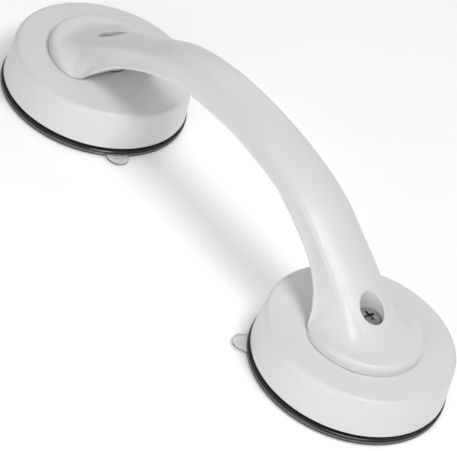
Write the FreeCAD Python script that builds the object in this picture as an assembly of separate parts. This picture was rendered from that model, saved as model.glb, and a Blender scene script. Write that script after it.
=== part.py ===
import FreeCAD, Part
import math
import os

# Suction grab bar: an arched plastic handle bolted to two suction heads.
# Millimetres.  X runs along the handle, Z points away from the wall, and
# z = 0 is the plane that the two cups stick to.  The origin is midway between
# the cups.  Every piece is written to parts/NODE.step.

Vector = FreeCAD.Vector
UP = Vector(0, 0, 1)
FAR = 200.0                  # past the object's ends, for the tools that cut it

# ---- driving dimensions ----------------------------------------------------

CUP_SPACING = 205.0          # between the two cup axes
LIP_RADIUS = 47.5            # widest point of the cup's sealing lip
LIP_THICKNESS = 3.0
LIP_INNER_RADIUS = 43.7

COVER_BASE_RADIUS = 46.7
COVER_TOP_RADIUS = 45.1
COVER_BASE_Z = 4.6
COVER_TOP_Z = 24.0
COVER_WALL = 2.4
COVER_PLATE = 3.0
COVER_EDGE_FILLET = 2.5

PAD_RADIUS = 28.7            # round foot at each end of the handle
PAD_TOP_Z = 29.3
PAD_EDGE_FILLET = 2.6
PAD_INNER_END = 92.0         # where the foot's rim tapers away to nothing
PAD_FULL_END = 107.0         # where the foot's rim reaches its full height
SWIVEL_GAP = 0.3             # handle foot to cover
FOOT_Z = COVER_TOP_Z + SWIVEL_GAP
FLARE_START = 92.0           # where the arch's sections hand over to the foot's
FLARE_HOLLOW_END = 113.0
FACE_GAP = 0.05              # between faces that slide on each other

SHELL_WALL = 2.5
SCREW_TUBE_RADIUS = 9.0
SCREW_BORE_RADIUS = 6.5
SCREW_SEAT_Z = 28.2
COLLAR_RADIUS = 12.0
COLLAR_TOP_Z = 26.2
SLIP_WASHER_TOP_Z = 24.8
STRIP_END = 92.0             # the lower shell's band runs to here
STRIP_THICKNESS = 2.4
STRIP_RECESS = 0.4
STRIP_CLEARANCE = 0.12
RIB_THICKNESS = 1.6
RIB_PLACES = [-80, -60, -20, 0, 20, 60, 80]
BOSS_RADIUS = 3.4
CLOSING_SCREW_X = 40.0
CLOSING_SCREW_RADIUS = 1.5
CLOSING_SCREW_LENGTH = 8.0
CLOSING_HOLE_DEPTH = 11.5    # blind hole, measured from the underside
CLOSING_HEAD_RADIUS = 2.6
CLOSING_HEAD_HEIGHT = 1.3
CLOSING_HEAD_DEPTH = 1.4     # counterbore that hides the head
CLOSING_CROSS = (1.6, 0.7, 0.8)   # half length, width and depth of its recess

SCREW_RADIUS = 3.0           # M6 machine screw
SCREW_HOLE_RADIUS = 3.08
SCREW_HEAD_RADIUS = 5.9
SCREW_HEAD_RIM = 2.6
SCREW_HEAD_HEIGHT = 4.3
SCREW_TIP = 0.8              # chamfer at the shank's end
SCREW_CROSS = (3.0, 1.1, 2.6)     # half length, width and depth of its recess
WASHER_THICKNESS = 1.2
WASHER_RADIUS = 6.2
SPRING_WASHER_RADIUS = 5.6
NUT_ACROSS_FLATS = 10.0
NUT_HEIGHT = 5.0
NUT_Z = 12.4

PRESS_RING_RADIUS = 42.0     # ring inside the cover that bears on the cup
PRESS_RING_Z = 5.0
HUB_RING_RADIUS = 15.5
HUB_RING_Z = 13.0
RIB_LOW_Z = 12.0
COVER_RIBS = 8
COVER_RIB_THICKNESS = 1.6
PRESS_RING_WALL = 2.0
RING_OVERLAP = 0.5           # how far rings and ribs run into the plate above them

NECK_RADIUS = 13.0
NECK_TOP_Z = 20.0
HUB_RADIUS = 9.5
HUB_FLANGE_RADIUS = 11.0
HUB_FLANGE = 1.5
HUB_LOW_Z = 10.3

DOME_RIM_RADIUS = 43.5
DOME_HEIGHT = 8.0
DOME_EDGE_HEIGHT = 0.35      # the hollow's height at the dome's edge
DOME_THICKNESS = 2.3

TAB_HINGE_RADIUS = 48.25
TAB_Z = 1.2
TAB_THICKNESS = 1.2
TAB_TIP_RADIUS = 54.5
TAB_ROOT_WIDTH = 13.2
TAB_END_WIDTH = 11.4

HEADS = {"left": (-CUP_SPACING / 2, -21.5), "right": (CUP_SPACING / 2, -129.8)}

# Half of the handle, from its middle to its foot.  Each station is a section
# across the handle: x, crown height, ridge half width and height, lower edge
# half width and height, underside height, ridge rounding, edge rounding and
# how hollow the flank is.
STATIONS = [
    (0.0, 74.6, 12.7, 73.9, 12.7, 59.6, 59.0, 8.0, 6.5, 0.0),
    (18.0, 73.8, 12.8, 73.0, 13.2, 59.3, 58.6, 7.6, 6.0, 0.0),
    (36.0, 71.3, 13.0, 69.9, 14.3, 59.2, 58.2, 5.6, 4.0, 0.0),
    (48.0, 68.1, 13.2, 66.5, 14.9, 56.4, 55.4, 4.2, 2.0, 0.2),
    (60.0, 63.8, 13.2, 61.8, 15.1, 51.2, 50.1, 3.0, 1.0, 0.5),
    (70.0, 58.5, 13.2, 56.3, 15.3, 45.2, 44.1, 2.4, 0.6, 1.0),
    (80.0, 53.0, 13.2, 50.6, 17.7, 38.3, 37.1, 2.2, 0.6, 1.4),
    (87.0, 49.1, 13.2, 46.5, 21.1, 31.3, 30.0, 2.2, 0.6, 2.2),
    (92.0, 46.1, 13.2, 43.4, 25.6, 25.8, 24.6, 2.2, 0.5, 3.6),
    (97.0, 42.8, 13.2, 40.1, 27.0, 26.4, 24.6, 2.4, 0.5, 4.2),
    (102.5, 39.1, 13.2, 36.8, 27.5, 27.6, 24.6, 2.6, 0.5, 3.8),
    (108.0, 35.3, 13.2, 33.4, 26.9, 28.2, 24.6, 2.8, 0.5, 2.2),
    (113.0, 32.0, 13.2, 30.7, 25.3, 28.4, 24.6, 3.0, 0.5, 0.8),
    (118.0, 29.2, 13.2, 28.9, 22.6, 28.4, 24.6, 3.0, 0.5, 0.0),
]


# ---- small helpers ---------------------------------------------------------

def cylinder(radius, z_low, z_high, x=0.0, y=0.0):
    return Part.makeCylinder(radius, z_high - z_low, Vector(x, y, z_low), UP)


def ring(outer, inner, z_low, z_high, x=0.0):
    return cylinder(outer, z_low, z_high, x).cut(cylinder(inner, z_low - 1, z_high + 1, x))


def revolve(profile, x=0.0):
    """Turn a closed outline of (radius, z) points once about the axis at x."""
    corners = [Vector(r, 0, z) for r, z in profile]
    face = Part.Face(Part.makePolygon(corners + corners[:1]))
    solid = face.revolve(Vector(0, 0, 0), UP, 360)
    solid.translate(Vector(x, 0, 0))
    return solid


def fuse_all(pieces):
    result = pieces[0]
    for piece in pieces[1:]:
        result = result.fuse(piece)
    return result.removeSplitter()


def save(name, shape):
    shape.exportStep("parts/" + name + ".step")
    print(name, "solids", len(shape.Solids), "volume cm3", round(shape.Volume / 1000, 2))


# ---- the handle's outside, as sections across it ---------------------------

def curve(x, *points):
    """A Bezier edge through its end points, pulled towards the middle one."""
    edge = Part.BezierCurve()
    edge.setPoles([Vector(x, y, z) for y, z in points])
    return edge.toShape()


def between(a, b, distance):
    """The point on the way from a to b, this far from a."""
    share = distance / math.dist(a, b)
    return (a[0] + (b[0] - a[0]) * share, a[1] + (b[1] - a[1]) * share)


def section(row):
    """A closed wire across the handle."""
    x, crown, ridge_y, ridge_z, edge_y, edge_z, bottom, ridge_round, edge_round, hollow = row
    crown_point = (0.0, crown)
    ridge = (ridge_y, ridge_z)
    edge = (edge_y, edge_z)
    foot = (edge_y - 0.2, bottom)
    ridge_top = between(ridge, crown_point, ridge_round)
    ridge_side = between(ridge, edge, ridge_round)
    edge_side = between(edge, ridge, edge_round)
    foot_low = (foot[0] - edge_round, foot[1])
    belly_y = (ridge_side[0] + edge_side[0]) / 2 - hollow
    belly_z = (ridge_side[1] + edge_side[1]) / 2 - hollow
    half = [
        [(0.0, bottom), foot_low],
        [foot_low, foot, edge_side],
        [edge_side, (belly_y, belly_z), ridge_side],
        [ridge_side, ridge, ridge_top],
        [ridge_top, (0.5 * ridge_top[0], crown_point[1]), crown_point],
    ]
    other = [[(-y, z) for y, z in reversed(span)] for span in reversed(half)]
    return Part.Wire([curve(x, *span) for span in half + other])


def loft(rows):
    return Part.makeLoft([section(row) for row in rows], True, False)


def flipped(rows):
    return [(-row[0],) + tuple(row[1:]) for row in reversed(rows)]


def arch_and_feet(arch, flare):
    """The arch with a flare at each end that runs down onto the foot."""
    middle = loft(flipped(arch[1:]) + arch)
    return middle.fuse([loft(flare), loft(flipped(flare))])


def outer_rows():
    arch = [row for row in STATIONS if row[0] <= FLARE_START]
    flare = [row for row in STATIONS if row[0] >= FLARE_START]
    return arch, flare


def inner_rows():
    """The hollow: one wall inside the arch, and open below in the flares."""
    wall = SHELL_WALL
    arch, flare = [], []
    for x, crown, ridge_y, ridge_z, edge_y, edge_z, bottom, ridge_round, edge_round, hollow in STATIONS:
        top = (x, crown - wall, ridge_y - wall, ridge_z - wall)
        rounds = (0.7 * ridge_round, 0.4, 0.6 * hollow)
        if x <= FLARE_START:
            arch.append(top + (edge_y - wall - hollow, bottom + wall + 1.0, bottom + wall) + rounds)
        if FLARE_START <= x <= FLARE_HOLLOW_END:
            flare.append(top + (edge_y - wall - hollow, edge_z - 1.3, bottom - 3.0) + rounds)
    return arch, flare


def foot_disc(side):
    """The round foot.  Its rim starts from nothing on the handle's inner side."""
    x = side * CUP_SPACING / 2
    disc = cylinder(PAD_RADIUS, FOOT_Z, PAD_TOP_Z, x)
    top_edges = [edge for edge in disc.Edges if edge.BoundBox.ZMin > PAD_TOP_Z - 0.01]
    disc = disc.makeFillet(PAD_EDGE_FILLET, top_edges)
    start, full, low, high = PAD_INNER_END, PAD_FULL_END, FOOT_Z, PAD_TOP_Z
    outline = [(0, low - 1), (start, low - 1), (start, low), (full, high), (full, high + 9), (0, high + 9)]
    points = [Vector(side * px, -50, pz) for px, pz in outline]
    wedge = Part.Face(Part.makePolygon(points + points[:1])).extrude(Vector(0, 100, 0))
    return disc.cut(wedge)


def handle_outside():
    return fuse_all([arch_and_feet(*outer_rows()), foot_disc(-1), foot_disc(1)])


# ---- the two halves of the handle ------------------------------------------

def slot_half_width(row):
    """Half the width of the opening that the lower shell closes."""
    edge_half, rounding, hollow = row[4], row[8], row[9]
    return edge_half - max(SHELL_WALL + 1.2 * hollow, 0.9 * rounding)


def strip(low, high, clearance):
    """A band along the underside, from low to high above the bottom line.

    It reaches to one clearance inside the slot's side walls.
    """
    sections = []
    for row in STATIONS:
        x, bottom = row[0], row[6]
        if x > STRIP_END:
            break
        half = slot_half_width(row) - clearance
        corners = [(-half, low), (half, low), (half, high), (-half, high)]
        points = [Vector(x, y, bottom + z) for y, z in corners]
        sections.append(Part.makePolygon(points + points[:1]))
    mirrored = []
    for wire in sections[:0:-1]:
        points = [Vector(-v.X, v.Y, v.Z) for v in wire.OrderedVertexes]
        mirrored.append(Part.makePolygon(points + points[:1]))
    return Part.makeLoft(mirrored + sections, True, False)


def closing_screw_places():
    return [-CLOSING_SCREW_X, CLOSING_SCREW_X]


def underside(x):
    """Height of the handle's bottom line at x, straight between the stations."""
    for low, high in zip(STATIONS, STATIONS[1:]):
        if low[0] <= abs(x) <= high[0]:
            share = (abs(x) - low[0]) / (high[0] - low[0])
            return low[6] + (high[6] - low[6]) * share
    return STATIONS[-1][6]


def handle_upper_shell():
    outside = handle_outside()
    hollow = arch_and_feet(*inner_rows())
    slot = strip(-6.0, SHELL_WALL + 0.5, 0.0)
    shell = outside.cut(hollow).cut(slot)
    extras = []
    for side in (-1, 1):
        x = side * CUP_SPACING / 2
        under_foot = cylinder(PAD_RADIUS - SHELL_WALL, FOOT_Z - 1, PAD_TOP_Z - SHELL_WALL, x)
        # The foot is hollow only past the line where its rim is at full height.
        inner, wide = PAD_FULL_END, PAD_RADIUS
        outline = [(inner, -wide), (FAR, -wide), (FAR, wide), (inner, wide)]
        points = [Vector(side * px, py, FOOT_Z - 1) for px, py in outline]
        full_height = Part.Face(Part.makePolygon(points + points[:1])).extrude(Vector(0, 0, PAD_TOP_Z))
        shell = shell.cut(under_foot.common(full_height))
        extras.append(cylinder(SCREW_TUBE_RADIUS, COLLAR_TOP_Z, 60, x).common(outside))
    roof = strip(STRIP_THICKNESS + FACE_GAP, 40.0, -3.0).common(outside)
    for x in RIB_PLACES:
        rib = Part.makeBox(RIB_THICKNESS, 60, 80, Vector(x - RIB_THICKNESS / 2, -30, 10))
        extras.append(rib.common(roof))
    for x in closing_screw_places():
        boss = cylinder(BOSS_RADIUS, 20, 90, x).common(roof)
        extras.append(boss)
    shell = shell.fuse(extras)
    for side in (-1, 1):
        x = side * CUP_SPACING / 2
        shell = shell.cut(cylinder(SCREW_BORE_RADIUS, SCREW_SEAT_Z, 60, x))
        shell = shell.cut(cylinder(SCREW_HOLE_RADIUS, 20, 60, x))
    for x in closing_screw_places():
        shell = shell.cut(cylinder(CLOSING_SCREW_RADIUS - 0.05, 50, underside(x) + CLOSING_HOLE_DEPTH, x))
    return shell.removeSplitter()


def handle_lower_shell():
    band = strip(STRIP_RECESS, STRIP_THICKNESS, STRIP_CLEARANCE)
    collars = [cylinder(COLLAR_RADIUS, SLIP_WASHER_TOP_Z + FACE_GAP, COLLAR_TOP_Z, side * CUP_SPACING / 2)
               for side in (-1, 1)]
    shell = band.fuse(collars)
    below = Part.makeBox(2 * FAR, 2 * FAR, FAR, Vector(-FAR, -FAR, SLIP_WASHER_TOP_Z + FACE_GAP - FAR))
    shell = shell.cut(below)
    for side in (-1, 1):
        shell = shell.cut(cylinder(SCREW_HOLE_RADIUS, 20, 40, side * CUP_SPACING / 2))
    for x in closing_screw_places():
        shell = shell.cut(cylinder(CLOSING_SCREW_RADIUS + 0.2, 40, 70, x))
        shell = shell.cut(cylinder(CLOSING_HEAD_RADIUS + 0.2, 40, underside(x) + CLOSING_HEAD_DEPTH, x))
    return shell.removeSplitter()


def closing_screws():
    screws = []
    for x in closing_screw_places():
        seat = underside(x) + CLOSING_HEAD_DEPTH
        low = seat - CLOSING_HEAD_HEIGHT
        head = cylinder(CLOSING_HEAD_RADIUS, low, seat, x)
        shank = cylinder(CLOSING_SCREW_RADIUS - 0.1, seat, seat + CLOSING_SCREW_LENGTH, x)
        half_length, width, depth = CLOSING_CROSS
        screws.append(head.fuse(shank).cut(cross_recess(half_length, width, low, low + depth, x)))
    return Part.makeCompound(screws)


# ---- fasteners --------------------------------------------------------------

def cross_recess(half_length, width, z_low, z_high, x=0.0):
    """The cross that a screwdriver's tip fits."""
    length = 2 * half_length
    height = z_high - z_low
    along = Part.makeBox(length, width, height, Vector(x - half_length, -width / 2, z_low))
    across = Part.makeBox(width, length, height, Vector(x - width / 2, -half_length, z_low))
    return along.fuse(across)


def main_screw(x):
    seat = SCREW_SEAT_Z + FACE_GAP + 2 * WASHER_THICKNESS
    rim = seat + SCREW_HEAD_RIM
    crown = seat + SCREW_HEAD_HEIGHT
    head_r = SCREW_HEAD_RADIUS
    head = cylinder(head_r, seat, crown, x)
    dome_radius = (head_r ** 2 + (crown - rim) ** 2) / (2 * (crown - rim))
    dome = Part.makeSphere(dome_radius, Vector(x, 0, crown - dome_radius))
    head = head.common(dome)
    shank = cylinder(SCREW_RADIUS, NUT_Z - 1.0, seat, x)
    tip_end = Vector(x, 0, NUT_Z - 1.0 - SCREW_TIP)
    tip = Part.makeCone(SCREW_RADIUS - SCREW_TIP, SCREW_RADIUS, SCREW_TIP, tip_end, UP)
    screw = head.fuse([shank, tip]).removeSplitter()
    half_length, width, depth = SCREW_CROSS
    return screw.cut(cross_recess(half_length, width, crown - depth, crown + 1, x))


def flat_washer(x):
    low = SCREW_SEAT_Z + FACE_GAP
    return ring(WASHER_RADIUS, SCREW_RADIUS + 0.1, low, low + WASHER_THICKNESS, x)


def spring_washer(x):
    """A split ring: one radial cut makes it springy."""
    low = SCREW_SEAT_Z + FACE_GAP + WASHER_THICKNESS
    washer = ring(SPRING_WASHER_RADIUS, SCREW_RADIUS + 0.15, low, low + WASHER_THICKNESS, x)
    return washer.cut(Part.makeBox(4, 0.8, 4, Vector(x + SCREW_RADIUS - 0.5, -0.4, low - 1)))


def slip_washer(x):
    return ring(COLLAR_RADIUS, SCREW_RADIUS + 0.1, COVER_TOP_Z, SLIP_WASHER_TOP_Z, x)


def hex_nut(x):
    corner = NUT_ACROSS_FLATS / 2 / math.cos(math.pi / 6)
    points = [Vector(x + corner * math.cos(k * math.pi / 3), corner * math.sin(k * math.pi / 3), NUT_Z)
              for k in range(7)]
    nut = Part.Face(Part.makePolygon(points)).extrude(Vector(0, 0, NUT_HEIGHT))
    return nut.cut(cylinder(SCREW_RADIUS + 0.02, NUT_Z - 1, NUT_Z + NUT_HEIGHT + 1, x))


# ---- the suction heads ------------------------------------------------------

def cover(x):
    """The white cap: a tapered wall, a top plate, a hub ring and a pressing ring on ribs."""
    outline = [(0, COVER_TOP_Z), (COVER_TOP_RADIUS, COVER_TOP_Z), (COVER_BASE_RADIUS, COVER_BASE_Z),
               (COVER_BASE_RADIUS - COVER_WALL, COVER_BASE_Z),
               (COVER_TOP_RADIUS - COVER_WALL, COVER_TOP_Z - COVER_PLATE), (0, COVER_TOP_Z - COVER_PLATE)]
    cap = revolve(outline)
    rim = [edge for edge in cap.Edges
           if edge.BoundBox.ZMin > COVER_TOP_Z - 0.01 and edge.BoundBox.XMax > COVER_TOP_RADIUS - 0.1]
    cap = cap.makeFillet(COVER_EDGE_FILLET, rim)
    under = COVER_TOP_Z - COVER_PLATE + RING_OVERLAP
    pieces = [cap, ring(PRESS_RING_RADIUS, PRESS_RING_RADIUS - PRESS_RING_WALL, PRESS_RING_Z, under),
              ring(HUB_RING_RADIUS, NECK_RADIUS + 0.2, HUB_RING_Z, under)]
    for k in range(COVER_RIBS):
        rib = Part.makeBox(COVER_BASE_RADIUS - HUB_RING_RADIUS, COVER_RIB_THICKNESS, under - RIB_LOW_Z,
                           Vector(HUB_RING_RADIUS - 1.0, -COVER_RIB_THICKNESS / 2, RIB_LOW_Z))
        rib = rib.common(cylinder(COVER_TOP_RADIUS - 1.0, 0, COVER_TOP_Z))
        rib.rotate(Vector(0, 0, 0), UP, 360 / COVER_RIBS * (k + 0.5))
        pieces.append(rib)
    cap = fuse_all(pieces).cut(cylinder(SCREW_HOLE_RADIUS + 0.1, 10, 30))
    cap.translate(Vector(x, 0, 0))
    return cap


def dome_underside(r):
    """Height of the cup's hollow above the wall, at distance r from the axis."""
    return DOME_EDGE_HEIGHT + (DOME_HEIGHT - DOME_EDGE_HEIGHT) * (1 - (r / DOME_RIM_RADIUS) ** 2)


def suction_cup(x):
    """A thin dome with a neck that grips the hub."""
    radii = [DOME_RIM_RADIUS * k / 8 for k in range(9)]
    lower = [Vector(r, 0, dome_underside(r)) for r in radii]
    upper = [Vector(r, 0, dome_underside(r) + DOME_THICKNESS) for r in reversed(radii)]
    under = Part.BSplineCurve()
    under.interpolate(lower)
    over = Part.BSplineCurve()
    over.interpolate(upper)
    rim = Part.makeLine(lower[-1], upper[0])
    axis = Part.makeLine(upper[-1], lower[0])
    edges = [under.toShape(), rim, over.toShape(), axis]
    dome = Part.Face(Part.Wire(edges)).revolve(Vector(0, 0, 0), UP, 360)
    neck = cylinder(NECK_RADIUS, DOME_HEIGHT, NECK_TOP_Z)
    cup = fuse_all([dome, neck])
    cup = cup.cut(hub_space(0.0))
    cup.translate(Vector(x, 0, 0))
    return cup


def hub_space(clearance):
    stem = cylinder(HUB_RADIUS + clearance, HUB_LOW_Z, NECK_TOP_Z + 1)
    flange_low = HUB_LOW_Z - clearance
    flange_high = HUB_LOW_Z + HUB_FLANGE + clearance
    flange = cylinder(HUB_FLANGE_RADIUS + clearance, flange_low, flange_high)
    return stem.fuse(flange)


def cup_hub(x):
    """The stiff core that the rubber neck is moulded round, with a pocket for the nut."""
    hub = hub_space(0.0).common(cylinder(40, 0, COVER_TOP_Z - COVER_PLATE))
    corner = (NUT_ACROSS_FLATS / 2 + 0.05) / math.cos(math.pi / 6)
    points = [Vector(corner * math.cos(k * math.pi / 3), corner * math.sin(k * math.pi / 3), NUT_Z - 0.05)
              for k in range(7)]
    pocket = Part.Face(Part.makePolygon(points)).extrude(Vector(0, 0, NUT_HEIGHT + 0.05))
    hub = hub.cut(pocket).cut(cylinder(SCREW_RADIUS + 0.1, NUT_Z - 1.9, 40))
    hub.translate(Vector(x, 0, 0))
    return hub


def cup_lip(x):
    """The thick sealing ring round the cup, flat where it meets the wall."""
    outer, inner, top = LIP_RADIUS, LIP_INNER_RADIUS, LIP_THICKNESS
    points = [Vector(inner, 0, top), Vector(inner, 0, 0), Vector(outer - 0.6, 0, 0),
              Vector(outer, 0, 0.6), Vector(outer - 0.1, 0, top - 0.7), Vector(outer - 0.8, 0, top)]
    face = Part.Face(Part.makePolygon(points + points[:1]))
    solid = face.revolve(Vector(0, 0, 0), UP, 360)
    solid.translate(Vector(x, 0, 0))
    return solid


def release_tab(x, angle):
    """A small tongue beside the lip, rounded at its root so that it can be lifted."""
    half = TAB_THICKNESS / 2
    root = TAB_HINGE_RADIUS
    end = TAB_TIP_RADIUS - TAB_END_WIDTH / 2
    corners = [(root, -TAB_ROOT_WIDTH / 2), (end, -TAB_END_WIDTH / 2), (end, TAB_END_WIDTH / 2),
               (root, TAB_ROOT_WIDTH / 2)]
    points = [Vector(px, py, TAB_Z - half) for px, py in corners]
    blade = Part.Face(Part.makePolygon(points + points[:1])).extrude(Vector(0, 0, TAB_THICKNESS))
    outside_root = Part.makeBox(20, 20, 10, Vector(root, -10, TAB_Z - 5))
    tip = cylinder(TAB_END_WIDTH / 2, TAB_Z - half, TAB_Z + half, end).common(outside_root)
    knuckle_end = Vector(root, -TAB_ROOT_WIDTH / 2, TAB_Z)
    knuckle = Part.makeCylinder(half, TAB_ROOT_WIDTH, knuckle_end, Vector(0, 1, 0))
    tab = fuse_all([blade, tip, knuckle])
    tab.rotate(Vector(0, 0, 0), UP, angle)
    tab.translate(Vector(x, 0, 0))
    return tab


# ---- write every piece -------------------------------------------------------

def main():
    os.makedirs("parts", exist_ok=True)
    save("handle_upper_shell", handle_upper_shell())
    save("handle_lower_shell", handle_lower_shell())
    save("handle_closing_screws", closing_screws())
    for side, (x, tab_angle) in HEADS.items():
        save(side + "_main_screw", main_screw(x))
        save(side + "_spring_washer", spring_washer(x))
        save(side + "_flat_washer", flat_washer(x))
        save(side + "_slip_washer", slip_washer(x))
        save(side + "_cover", cover(x))
        save(side + "_cup_hub", cup_hub(x))
        save(side + "_hex_nut", hex_nut(x))
        save(side + "_suction_cup", suction_cup(x))
        save(side + "_cup_lip", cup_lip(x))
        save(side + "_release_tab", release_tab(x, tab_angle))


main()
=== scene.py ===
# %% [markdown]
# # A suction grab bar
#
# A white arched handle stands on two suction heads.  Each head is a white cover
# over a clear rubber cup, and a cross-headed screw at the bottom of a bore holds
# the handle's foot to it.  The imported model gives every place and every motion.
# This lesson gives each piece the surface that a hand would feel.

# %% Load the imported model
import math

import bmesh
import bpy
import numpy as np
from mathutils import Matrix, Vector


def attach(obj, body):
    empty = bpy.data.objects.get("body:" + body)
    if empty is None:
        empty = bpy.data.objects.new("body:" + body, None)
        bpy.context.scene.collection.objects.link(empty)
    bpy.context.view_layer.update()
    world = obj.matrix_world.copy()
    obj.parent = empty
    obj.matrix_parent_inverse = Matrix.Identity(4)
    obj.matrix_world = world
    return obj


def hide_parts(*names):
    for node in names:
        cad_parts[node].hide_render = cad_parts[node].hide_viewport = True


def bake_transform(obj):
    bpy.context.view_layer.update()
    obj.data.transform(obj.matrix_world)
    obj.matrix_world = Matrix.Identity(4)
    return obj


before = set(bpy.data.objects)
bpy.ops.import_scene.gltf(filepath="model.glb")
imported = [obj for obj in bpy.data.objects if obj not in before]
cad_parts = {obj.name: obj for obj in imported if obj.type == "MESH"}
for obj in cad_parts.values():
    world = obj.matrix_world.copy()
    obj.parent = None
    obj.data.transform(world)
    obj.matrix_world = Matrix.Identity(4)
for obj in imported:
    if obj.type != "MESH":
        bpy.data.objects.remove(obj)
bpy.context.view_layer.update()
MM = 0.001

# %% [markdown]
# ## The camera
#
# A long lens far away keeps the two heads nearly the same size.  The bar leans to
# the right in the picture, so the camera is rolled.  The small shift moves the
# object on the film without turning the camera.

# %% Set up the camera
CAMERA_PLACE = (0.58908, -0.70422, 0.71667)
CAMERA_TURN = (50.8509, -16.3202, 51.9342)
CAMERA_LENS = 192.98
CAMERA_SHIFT = (-0.0512, -0.0363)

camera_data = bpy.data.cameras.new("long_lens")
camera_data.lens = CAMERA_LENS
camera_data.sensor_width = 36.0
camera_data.shift_x, camera_data.shift_y = CAMERA_SHIFT
camera_data.clip_start, camera_data.clip_end = 0.05, 20.0
camera = bpy.data.objects.new("camera", camera_data)
camera.location = CAMERA_PLACE
camera.rotation_euler = [math.radians(a) for a in CAMERA_TURN]
bpy.context.collection.objects.link(camera)
bpy.context.scene.camera = camera
print("camera is", round(Vector(CAMERA_PLACE).length, 3), "m from the middle of the bar")

# %% [markdown]
# ## Floor and light
#
# White plastic shows its form only by soft differences of light.  A low wide lamp
# in front lights the covers' walls, a second one above gives the crown its sheen,
# and a weak one behind draws the far edges.  The world fills the rest.  A Light
# Path node lets the camera see a pale backdrop in it that gives no light itself.

# %% Build the floor, the lamps and the world
def stage_floor(size, z):
    mesh = bpy.data.meshes.new("floor")
    half = size / 2
    corners = [(-half, -half, z), (half, -half, z), (half, half, z), (-half, half, z)]
    mesh.from_pydata(corners, [], [(0, 1, 2, 3)])
    floor = bpy.data.objects.new("floor", mesh)
    bpy.context.collection.objects.link(floor)
    return floor


def soft_lamp(name, place, aim, size, watts):
    data = bpy.data.lights.new(name, "AREA")
    data.shape = "DISK"
    data.size = size
    data.energy = watts
    lamp = bpy.data.objects.new(name, data)
    lamp.location = place
    lamp.rotation_euler = (Vector(aim) - Vector(place)).to_track_quat("-Z", "Y").to_euler()
    lamp.visible_camera = False
    bpy.context.collection.objects.link(lamp)


FLOOR_SIZE, FLOOR_HEIGHT = 6.0, -0.0004
WORLD_STRENGTH, BACKDROP_GREY = 0.34, 0.90
# name, place, point it looks at, diameter in metres, watts
LAMPS = [
    ("front_lamp", (0.32, -0.75, 0.28), (0.05, 0, 0.03), 0.50, 1.6),
    ("top_lamp", (0.42, 0.00, 0.95), (0, 0, 0.03), 0.42, 4.8),
    ("back_lamp", (-0.9, 0.9, 0.7), (0, 0, 0.03), 0.80, 1.8),
]
floor = stage_floor(FLOOR_SIZE, FLOOR_HEIGHT)
for lamp_row in LAMPS:
    soft_lamp(*lamp_row)

world = bpy.data.worlds.new("pale_studio")
world.use_nodes = True
sky = world.node_tree
glow = sky.nodes["Background"]
glow.inputs["Color"].default_value = (1.0, 1.0, 1.0, 1.0)
glow.inputs["Strength"].default_value = WORLD_STRENGTH
seen = sky.nodes.new("ShaderNodeBackground")
seen.inputs["Color"].default_value = (BACKDROP_GREY, BACKDROP_GREY, BACKDROP_GREY, 1.0)
ray = sky.nodes.new("ShaderNodeLightPath")
either = sky.nodes.new("ShaderNodeMixShader")
sky.links.new(ray.outputs["Is Camera Ray"], either.inputs[0])
sky.links.new(glow.outputs[0], either.inputs[1])
sky.links.new(seen.outputs[0], either.inputs[2])
sky.links.new(either.outputs[0], sky.nodes["World Output"].inputs["Surface"])
bpy.context.scene.world = world
bpy.context.scene.view_settings.view_transform = "Standard"
print(len(LAMPS), "lamps over a floor at z =", floor.data.vertices[0].co.z)

# %% [markdown]
# ## A small language for shaders
#
# A material is a graph of nodes, and most of it is plain arithmetic.  One class
# wraps a socket, so that `0.3 + 0.1 * noise` adds the Math nodes by itself.
# Everything that isn't arithmetic comes from one method, `node`.

# %% Wrap a socket
class Wire:
    """A socket of a shader tree that can be used in a Python expression."""

    def __init__(self, tree, socket):
        self.tree, self.socket = tree, socket

    def maths(self, operation, other):
        values = {0: self, 1: other}
        return Shader(self.tree).node("ShaderNodeMath", {"operation": operation}, values)

    def __add__(self, other):
        return self.maths("ADD", other)

    def __mul__(self, other):
        return self.maths("MULTIPLY", other)

    # 2 * wire and wire * 2 are the same, so the reflected forms can share.
    __radd__ = __add__
    __rmul__ = __mul__


class Shader:
    """Adds nodes to one tree: settings first, then values or links."""

    def __init__(self, tree):
        self.tree = tree

    def node(self, kind, settings=None, inputs=None, output=0):
        made = self.tree.nodes.new(kind)
        for key, value in (settings or {}).items():
            if key == "stops":
                ramp = made.color_ramp
                while len(ramp.elements) < len(value):
                    ramp.elements.new(0.5)
                for element, (place, colour) in zip(ramp.elements, value):
                    element.position = place
                    element.color = colour
            else:
                setattr(made, key, value)
        for key, value in (inputs or {}).items():
            socket = made.inputs[key]
            if isinstance(value, Wire):
                self.tree.links.new(value.socket, socket)
            else:
                socket.default_value = value
        return Wire(self.tree, made.outputs[output])


def new_material(name, plain, varying=None, bump=None):
    """A Principled material: plain values on its sockets, wires for what varies."""
    material = bpy.data.materials.new(name)
    material.use_nodes = True
    tree = material.node_tree
    shader = tree.nodes["Principled BSDF"]
    for key, value in plain.items():
        shader.inputs[key].default_value = value
    graph = Shader(tree)
    place = graph.node("ShaderNodeTexCoord", output="Object")
    for key, make in (varying or {}).items():
        tree.links.new(make(graph, place).socket, shader.inputs[key])
    if bump:
        tree.links.new(bump(graph, place).socket, shader.inputs["Normal"])
    return material


def noise(graph, place, scale, detail=3.0, roughness=0.5):
    """Soft blotches: scale says how many there are in a metre."""
    values = {"Vector": place, "Scale": scale, "Detail": detail, "Roughness": roughness}
    return graph.node("ShaderNodeTexNoise", inputs=values)


def tint(graph, amount, low, high):
    """A colour from low to high as amount goes from 0 to 1."""
    values = {0: amount, 6: low, 7: high}
    return graph.node("ShaderNodeMix", {"data_type": "RGBA"}, values, output=2)


def bumps(graph, height, strength, depth):
    """A normal from a height that is this many metres deep at most."""
    values = {"Strength": strength, "Distance": depth, "Height": height}
    return graph.node("ShaderNodeBump", inputs=values)


def grey(value, blue=0.0):
    """A neutral colour, with its blue a little higher or lower."""
    return (value, value, value + blue, 1)


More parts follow.
